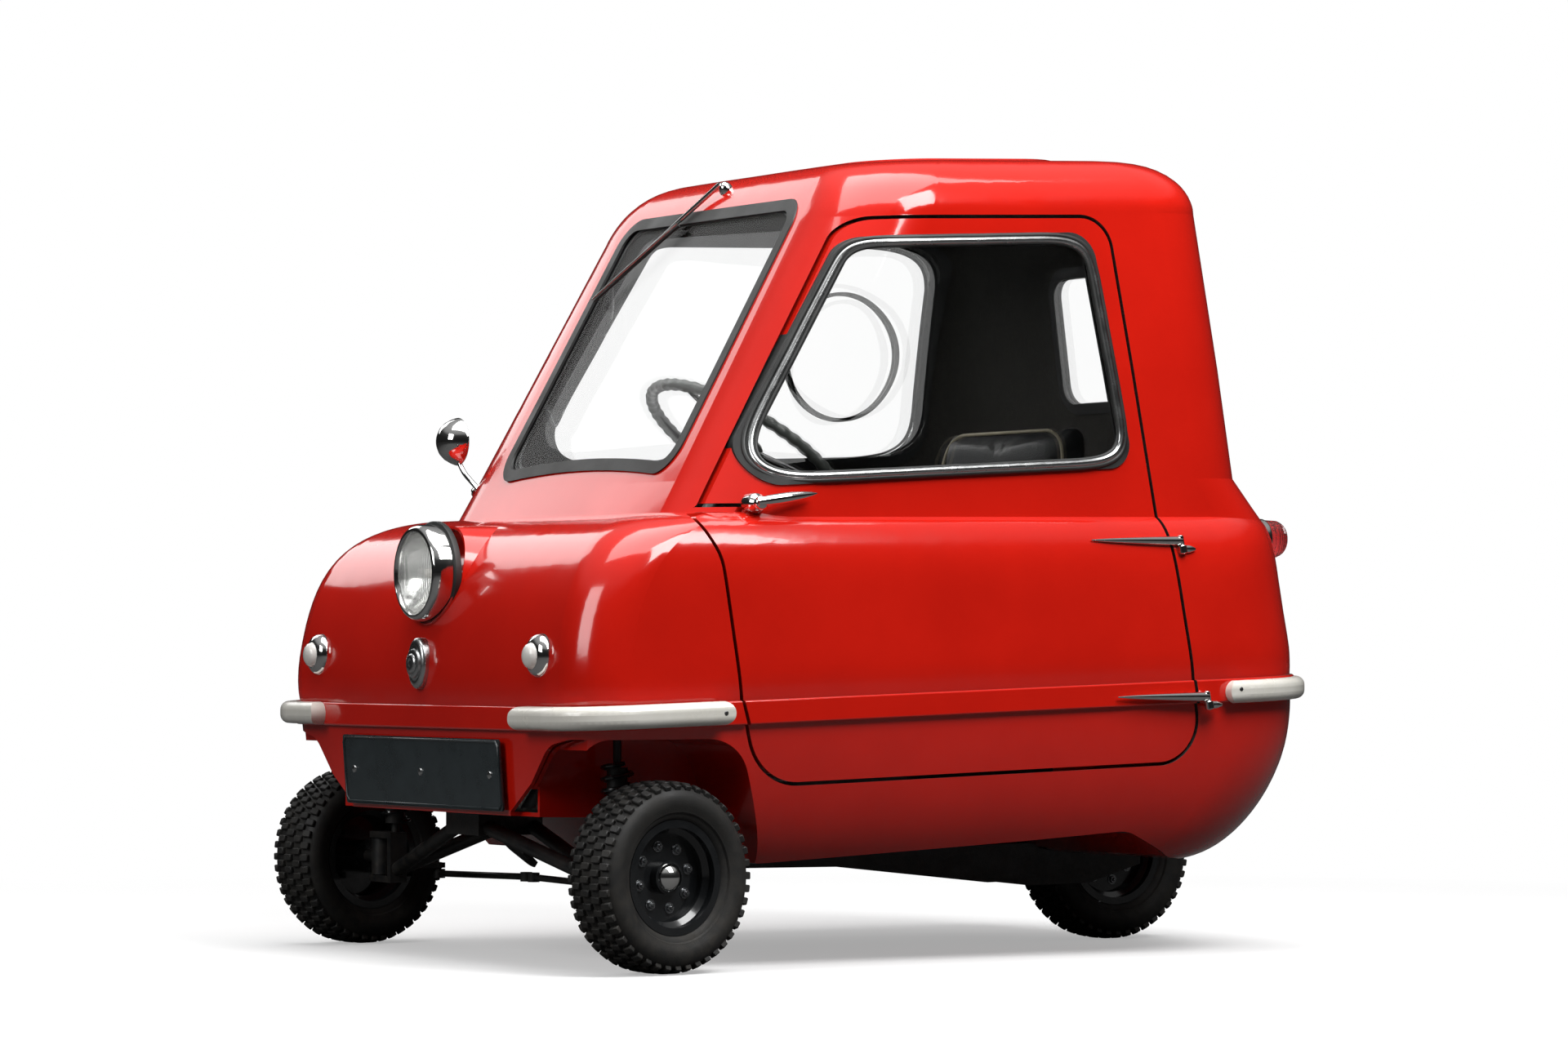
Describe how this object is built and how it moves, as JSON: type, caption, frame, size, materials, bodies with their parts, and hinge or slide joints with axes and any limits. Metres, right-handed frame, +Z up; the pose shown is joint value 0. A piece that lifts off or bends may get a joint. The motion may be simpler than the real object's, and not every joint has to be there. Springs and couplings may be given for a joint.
{
  "type": "three wheeled microcar",
  "caption": "Tiny enclosed car with two steered front wheels, a driven rear wheel, a rear hinged side door, a central nose lamp and a cabin with one seat.",
  "frame": {"origin": "on the ground, midway between the two sides and between the front and rear bumpers", "axes": "+Z up, -Y towards the nose, +X towards the car's left side, which has the door"},
  "size_m": [1.0738, 1.3664, 1.2109],
  "materials": {
    "red_shell": "glossy moulded shell",
    "window_glass": "clear",
    "lens_glass": "clear fluted lens",
    "black_rubber": "satin",
    "white_enamel": "gloss",
    "black_plate": "gloss",
    "bright_chrome": "polished",
    "red_lens": "gloss",
    "black_tyre": "matt",
    "black_enamel": "gloss",
    "dark_steel": "satin",
    "grey_plastic": "satin",
    "black_leathercloth": "grained, with pale piping",
    "black_lining": "matt",
    "cast_alloy": "cast"
  },
  "bodies": {
    "car_body": {"body_upper": "red_shell", "body_lower": "red_shell", "headlamp_fairing": "red_shell", "body_glass": "window_glass", "body_seals": "black_rubber", "bumpers": "white_enamel", "number_plates": "black_plate", "headlamp_bowl": "bright_chrome", "headlamp_lens": "lens_glass", "sidelights": "bright_chrome", "nose_lock": "bright_chrome", "tail_lamps": "red_lens", "lifting_handle": "bright_chrome", "hinge_mounts": "bright_chrome", "mirror": "bright_chrome", "wiper": "dark_steel", "front_swing_arms": "black_enamel", "front_dampers": "black_enamel", "front_bracket": "black_enamel", "column_bracket": "dark_steel", "rear_swing_arm": "black_enamel", "seat_base": "black_enamel", "seat_cushion": "black_leathercloth", "seat_back": "black_leathercloth", "engine": "cast_alloy", "engine_cover": "black_lining", "pedals": "dark_steel", "gear_lever": "dark_steel"},
    "steering": {"steering_column": "dark_steel", "steering_wheel": "grey_plastic"},
    "knuckle_left_body": {"knuckle_left": "black_enamel"},
    "knuckle_right_body": {"knuckle_right": "black_enamel"},
    "track_rod_left_body": {"track_rod_left": "black_enamel"},
    "track_rod_right_body": {"track_rod_right": "black_enamel"},
    "door_body": {"door": "red_shell", "door_glass": "window_glass", "door_seal": "black_rubber", "hinge_straps": "bright_chrome", "door_handle": "bright_chrome"},
    "wheel_front_left": {"tyre_front_left": "black_tyre", "rim_front_left": "black_enamel"},
    "wheel_front_right": {"tyre_front_right": "black_tyre", "rim_front_right": "black_enamel"},
    "wheel_rear": {"tyre_rear": "black_tyre", "rim_rear": "black_enamel"}
  },
  "joints": [
    {"name": "steering_turn", "type": "hinge", "parent": "car_body", "child": "steering", "pos_m": [0, -0.5135, 0.17], "axis": [0, 0.565, 0.8251], "range_deg": [-61.29, 29.03]},
    {"name": "kingpin_left", "type": "hinge", "parent": "car_body", "child": "knuckle_left_body", "pos_m": [0.412, -0.5215, 0.137], "axis": [0, 0, 1], "range_deg": [-38.01, 18.01]},
    {"name": "kingpin_right", "type": "hinge", "parent": "car_body", "child": "knuckle_right_body", "pos_m": [-0.412, -0.5215, 0.137], "axis": [0, 0, 1], "range_deg": [-38.01, 18.01]},
    {"name": "track_rod_left_end", "type": "hinge", "parent": "knuckle_left_body", "child": "track_rod_left_body", "pos_m": [0.37726, -0.42812, 0.108], "axis": [0, 0, 1], "range_deg": [-18.01, 38.01]},
    {"name": "track_rod_right_end", "type": "hinge", "parent": "knuckle_right_body", "child": "track_rod_right_body", "pos_m": [-0.41129, -0.42186, 0.108], "axis": [0, 0, 1], "range_deg": [-18.01, 38.01]},
    {"name": "wheel_front_left_spin", "type": "hinge", "parent": "knuckle_left_body", "child": "wheel_front_left", "pos_m": [0.4701, -0.51126, 0.137], "axis": [0.9848, 0.1736, 0], "continuous": true},
    {"name": "wheel_front_right_spin", "type": "hinge", "parent": "knuckle_right_body", "child": "wheel_front_right", "pos_m": [-0.4701, -0.53175, 0.137], "axis": [0.9848, 0.1736, 0], "continuous": true},
    {"name": "wheel_rear_spin", "type": "hinge", "parent": "car_body", "child": "wheel_rear", "pos_m": [0, 0.5485, 0.137], "axis": [1, 0, 0], "continuous": true},
    {"name": "door_swing", "type": "hinge", "parent": "car_body", "child": "door_body", "pos_m": [0.513, 0.3985, 0.383], "axis": [-0.0973, -0.1354, 0.986], "range_deg": [0, 75]}
  ],
  "couplings": [
    {"joint": "kingpin_left", "follows": "steering_turn", "ratio": 0.62},
    {"joint": "kingpin_right", "follows": "steering_turn", "ratio": 0.62},
    {"joint": "track_rod_left_end", "follows": "steering_turn", "ratio": -0.62},
    {"joint": "track_rod_right_end", "follows": "steering_turn", "ratio": -0.62}
  ]
}
